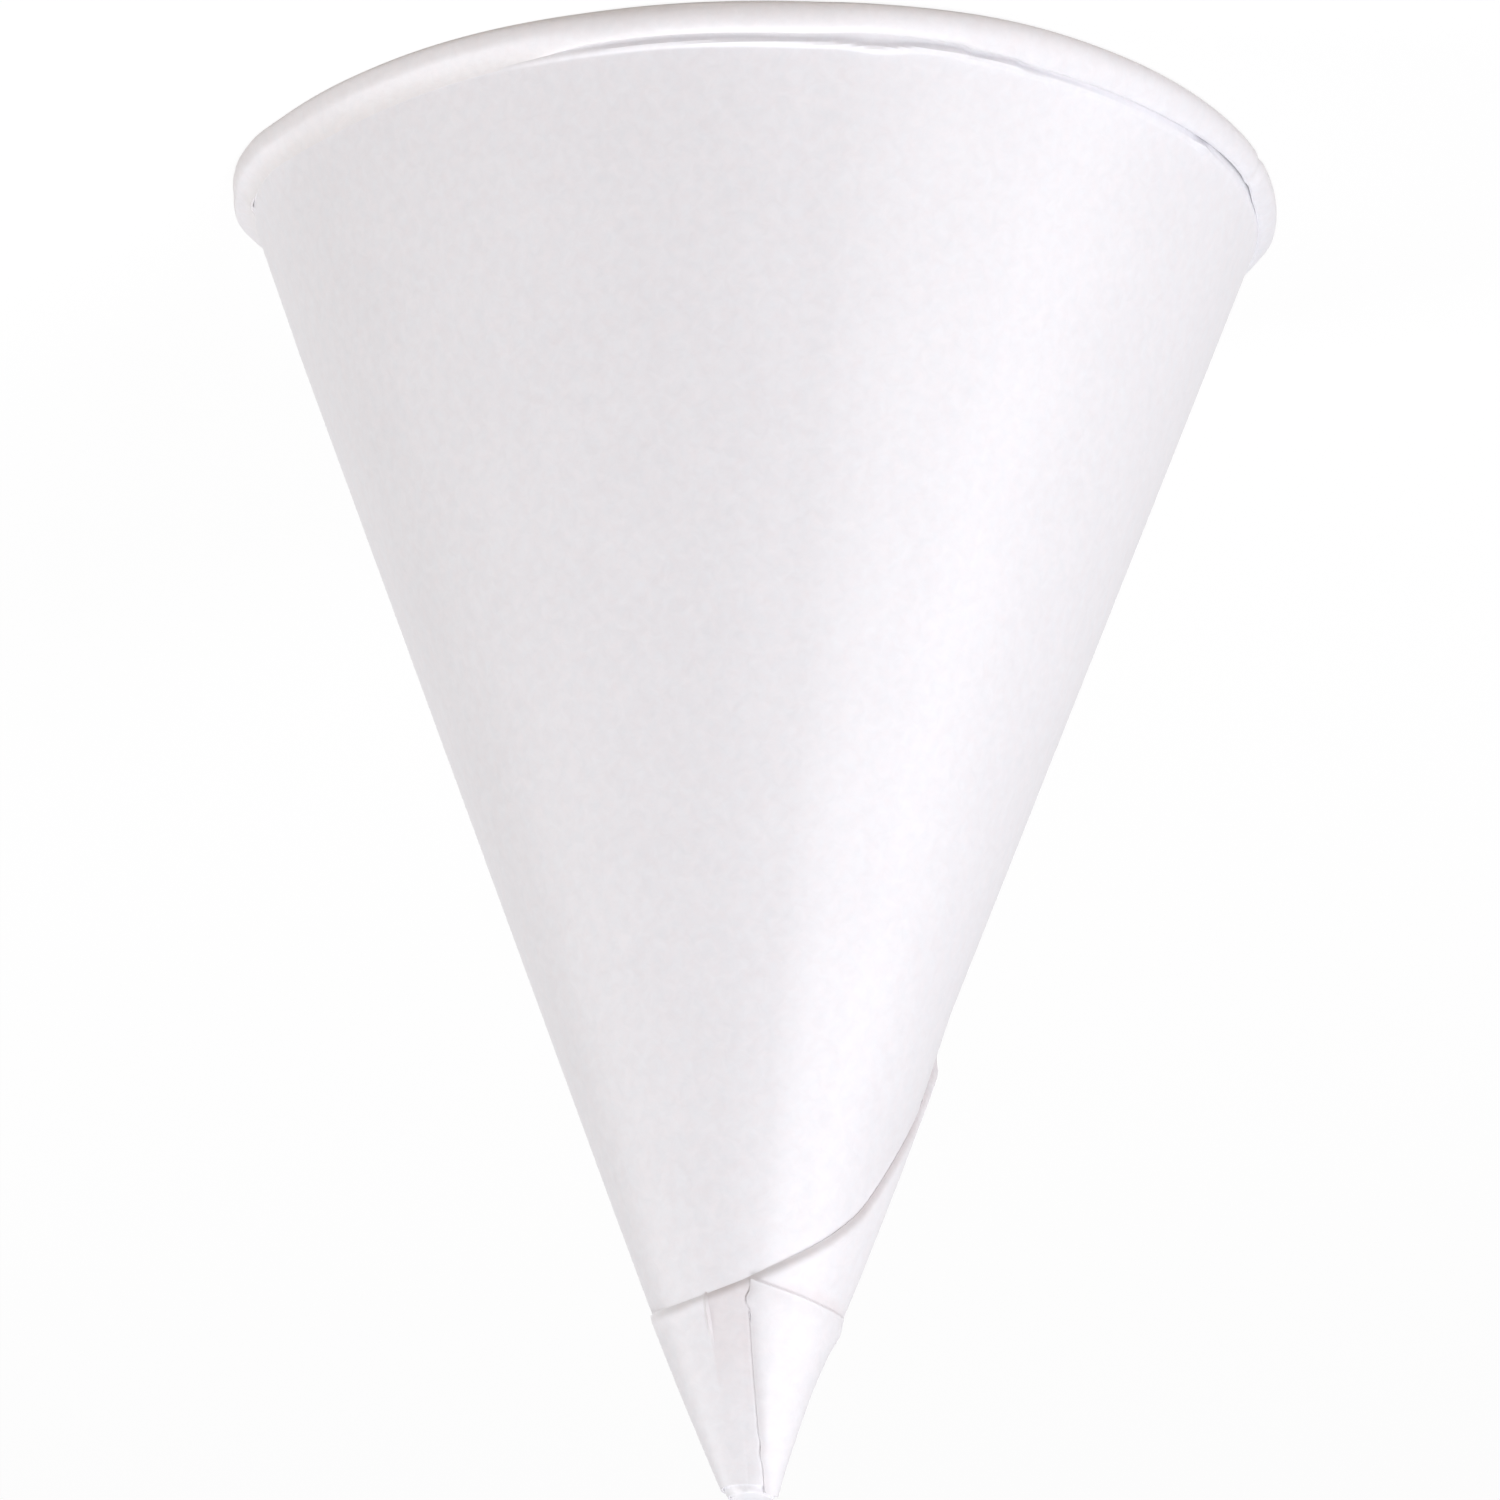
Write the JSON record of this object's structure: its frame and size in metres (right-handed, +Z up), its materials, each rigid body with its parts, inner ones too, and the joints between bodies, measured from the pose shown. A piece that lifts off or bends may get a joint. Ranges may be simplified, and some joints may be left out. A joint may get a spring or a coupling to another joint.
{
  "type": "cone cup",
  "caption": "Cone-shaped drinking cup wound from one white bagasse sheet, with a flattened rolled rim, a spiral lap and a blunt closed tip.",
  "frame": {"origin": "middle of the rolled rim's rest plane, on the cone's axis", "axes": "+Z up along the cone's axis, from the rim to the tip; the cup stands on its rim; -Y is the side with the seam that runs to the tip"},
  "size_m": [0.073, 0.073, 0.0932],
  "materials": {
    "bagasse_sheet": "uncoated matt white sheet with a fine fibre texture"
  },
  "bodies": {
    "root": {"cone_cup": "bagasse_sheet"}
  },
  "joints": []
}
